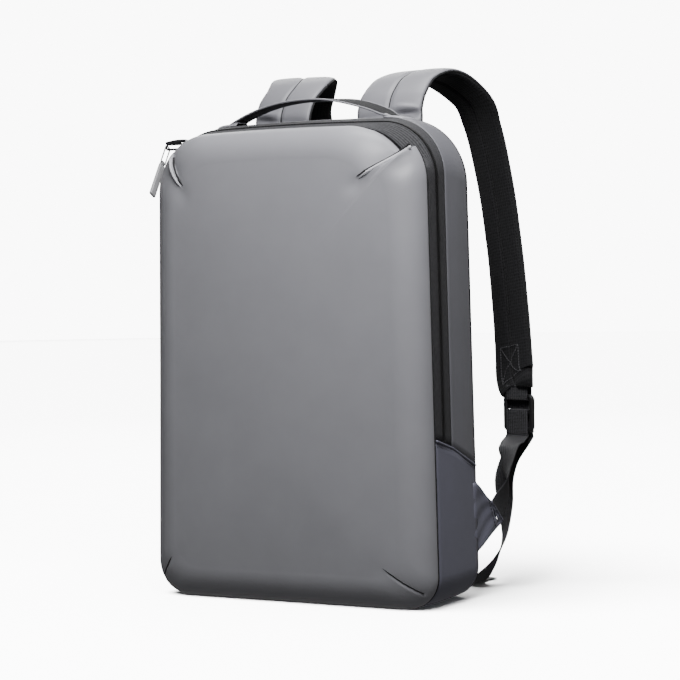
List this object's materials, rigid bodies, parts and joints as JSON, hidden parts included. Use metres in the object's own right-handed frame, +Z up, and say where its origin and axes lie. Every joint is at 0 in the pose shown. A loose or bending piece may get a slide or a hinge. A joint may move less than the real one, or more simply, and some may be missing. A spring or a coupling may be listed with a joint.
{
  "type": "anti theft backpack",
  "caption": "Slim upright backpack with a padded front, a zip round its top and sides, a top handle and padded shoulder straps arched behind it.",
  "frame": {"origin": "middle of the flat base, on the surface that the bag stands on", "axes": "-Y to the front of the bag, +X to the right as seen from the front, +Z up"},
  "size_m": [0.3148, 0.2538, 0.4878],
  "materials": {
    "coated_grey_cloth": "satin",
    "strap_cloth": "satin woven polyester",
    "spacer_mesh": "matt spacer mesh",
    "back_mesh": "matt spacer mesh",
    "zip_tape": "matt woven tape",
    "zip_coil": "fine coil",
    "grey_edging": "satin binding",
    "piping": "matt cord",
    "webbing": "ribbed webbing",
    "buckle_plastic": "satin moulded",
    "dark_metal": "dark plated",
    "pull_rubber": "moulded tab"
  },
  "bodies": {
    "bag": {"back_panel": "back_mesh", "base_panel": "coated_grey_cloth", "buckle_left": "buckle_plastic", "buckle_right": "buckle_plastic", "front_panel": "coated_grey_cloth", "gusset": "coated_grey_cloth", "handle": "webbing", "handle_edge_front": "grey_edging", "handle_edge_rear": "grey_edging", "seam_piping": "piping", "side_panel_left": "coated_grey_cloth", "side_panel_right": "coated_grey_cloth", "strap_cover_left": "strap_cloth", "strap_cover_right": "strap_cloth", "strap_loop_left": "webbing", "strap_loop_right": "webbing", "strap_pad_left": "spacer_mesh", "strap_pad_right": "spacer_mesh", "webbing_left": "webbing", "webbing_right": "webbing", "zip_coil": "zip_coil", "zip_slider": "dark_metal", "zip_tape_front": "zip_tape", "zip_tape_rear": "zip_tape"},
    "link": {"pull_link": "dark_metal"},
    "tab": {"pull_tab": "pull_rubber"}
  },
  "joints": [
    {"name": "pull_swing", "type": "hinge", "parent": "bag", "child": "link", "pos_m": [-0.14078, -0.0175, 0.41652], "axis": [0, 0.848, -0.5299], "range_deg": [0, 120]},
    {"name": "tab_swing", "type": "hinge", "parent": "link", "child": "tab", "pos_m": [-0.14078, -0.0273, 0.40083], "axis": [0, 0.848, -0.5299], "range_deg": [0, 90]}
  ]
}
